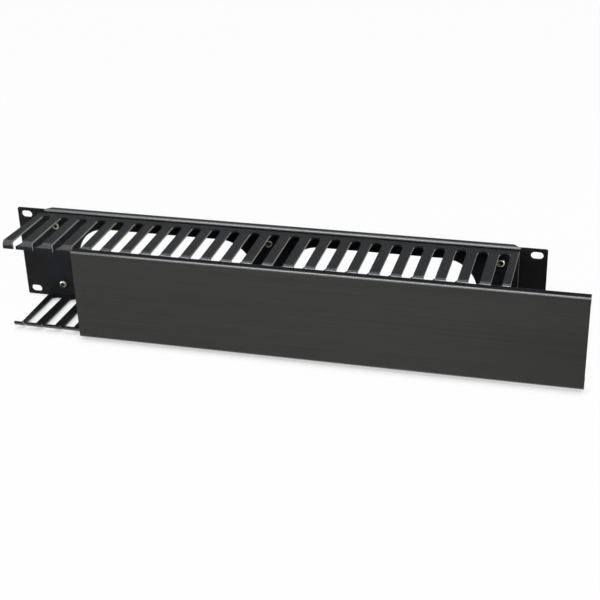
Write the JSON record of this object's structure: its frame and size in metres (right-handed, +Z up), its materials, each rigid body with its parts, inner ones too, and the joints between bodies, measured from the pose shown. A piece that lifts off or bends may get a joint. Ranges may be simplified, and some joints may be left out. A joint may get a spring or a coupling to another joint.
{
  "type": "horizontal cable manager",
  "caption": "Two-unit rack panel carrying a slotted finger duct with cable windows and a cover that slides along the finger lips.",
  "frame": {"origin": "centre of the rack slot pattern, on the back face of the mounting panel", "axes": "+X along the rack to the right seen from the front, +Y into the rack away from the cover, +Z up"},
  "size_m": [0.5223, 0.0827, 0.0882],
  "materials": {
    "panel_paint": "satin black powder coat",
    "duct_plastic": "black moulded plastic, softly glossy on the bends",
    "cover_plastic": "charcoal extruded plastic with faint lengthwise streaks",
    "screw_steel": "zinc plated",
    "nut_steel": "zinc plated"
  },
  "bodies": {
    "frame": {"mounting_panel": "panel_paint", "finger_duct": "duct_plastic", "screw_top_left": "screw_steel", "screw_top_middle": "screw_steel", "screw_top_right": "screw_steel", "screw_bottom_left": "screw_steel", "screw_bottom_middle": "screw_steel", "screw_bottom_right": "screw_steel", "nut_top_left": "nut_steel", "nut_top_middle": "nut_steel", "nut_top_right": "nut_steel", "nut_bottom_left": "nut_steel", "nut_bottom_middle": "nut_steel", "nut_bottom_right": "nut_steel"},
    "cover": {"cover": "cover_plastic"}
  },
  "joints": [
    {"name": "cover_slide", "type": "slide", "parent": "frame", "child": "cover", "axis": [1, 0, 0], "range_m": [-0.486, 0.36]}
  ]
}
